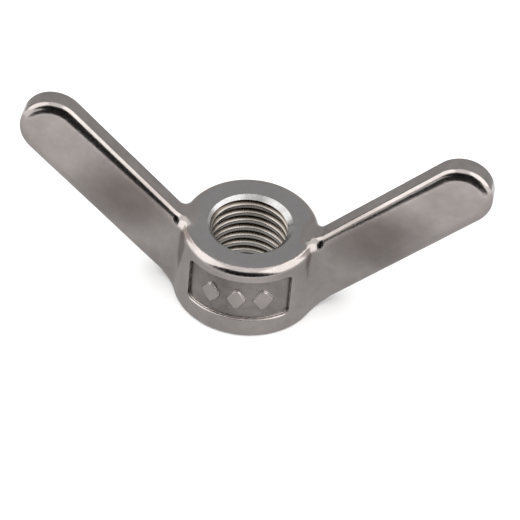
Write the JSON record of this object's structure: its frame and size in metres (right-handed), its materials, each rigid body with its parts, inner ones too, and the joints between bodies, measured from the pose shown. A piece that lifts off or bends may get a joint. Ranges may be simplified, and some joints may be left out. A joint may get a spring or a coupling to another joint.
{
  "type": "wing nut",
  "caption": "Cast wing nut: round hub with a tapped through bore, a recessed plaque on its front and a raised bar wing on each side for turning by hand.",
  "frame": {"origin": "on the thread axis, in the plane of the seat face, which is the bottom of the hub", "axes": "+Z along the thread axis from the seat face towards the wing tips, +X along one wing, -Y through the recessed plaque"},
  "size_m": [0.0886, 0.0282, 0.0396],
  "materials": {
    "stainless_steel": "satin cast stainless steel, tumbled and polished, with machined end faces"
  },
  "bodies": {
    "root": {"wing_nut_body": "stainless_steel"}
  },
  "joints": []
}
